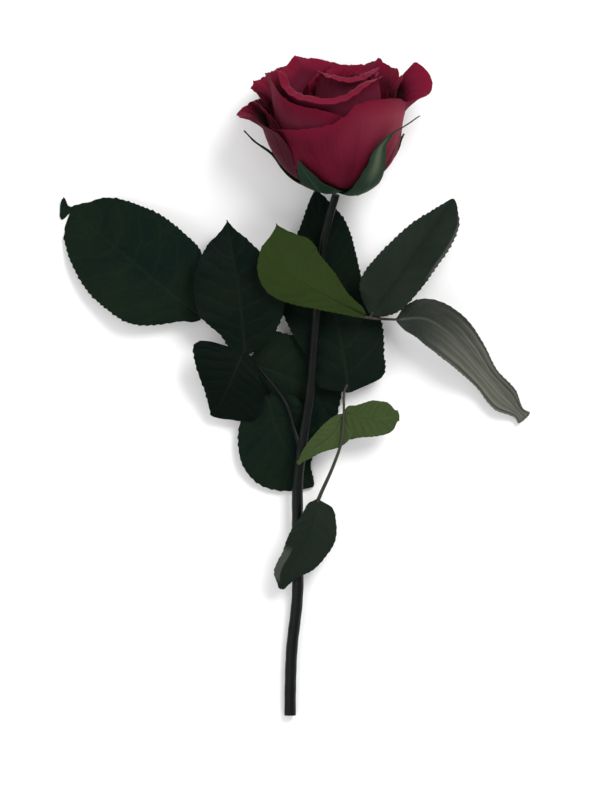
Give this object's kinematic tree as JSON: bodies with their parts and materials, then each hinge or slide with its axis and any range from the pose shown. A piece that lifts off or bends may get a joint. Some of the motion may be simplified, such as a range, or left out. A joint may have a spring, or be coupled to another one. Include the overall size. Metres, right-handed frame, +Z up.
{
  "type": "cut rose stem",
  "caption": "Long-stemmed cut rose lying on its side, with one full double bloom on a bent neck and toothed compound leaves.",
  "frame": {"origin": "centre of the rose's footprint, on the surface that it lies on", "axes": "+Z up from the surface, +Y along the stem towards the bloom, +X to the right as seen from above with the bloom away from the viewer"},
  "size_m": [0.2112, 0.297, 0.0686],
  "materials": {
    "petal": "velvety petal, deep crimson",
    "stem": "smooth dark green bark",
    "leaf": "satin leaf, dark green",
    "leaf_underside": "matt leaf underside, light green",
    "leaf_dried": "matt dried leaf, grey green",
    "calyx": "satin sepals, green"
  },
  "bodies": {
    "root": {"stem": "stem", "leaf_stalk_left": "stem", "leaf_stalk_right": "stem", "leaf_stalk_low": "stem", "leaflet_left_tip": "leaf", "leaflet_left_upper": "leaf", "leaflet_left_lower": "leaf", "leaflet_inner_upper": "leaf", "leaflet_inner_lower": "leaf", "leaflet_right_front": "leaf_underside", "leaflet_right_upper": "leaf", "leaflet_right_tip": "leaf_dried", "leaflet_low_tip": "leaf", "leaflet_low_right": "leaf_underside", "leaflet_low_left": "leaf_underside", "leaflet_low_hanging": "leaf", "petal_guard_front": "petal", "petal_guard_left": "petal", "petal_guard_right": "petal", "petal_guard_back_left": "petal", "petal_guard_back": "petal", "petal_middle_low": "petal", "petal_middle_front": "petal", "petal_middle_right": "petal", "petal_middle_back_right": "petal", "petal_middle_back_left": "petal", "petal_middle_left": "petal", "petal_inner_front": "petal", "petal_inner_right": "petal", "petal_inner_left": "petal", "petal_tight_front": "petal", "petal_tight_right": "petal", "petal_tight_left": "petal", "heart": "petal", "calyx": "calyx"}
  },
  "joints": []
}
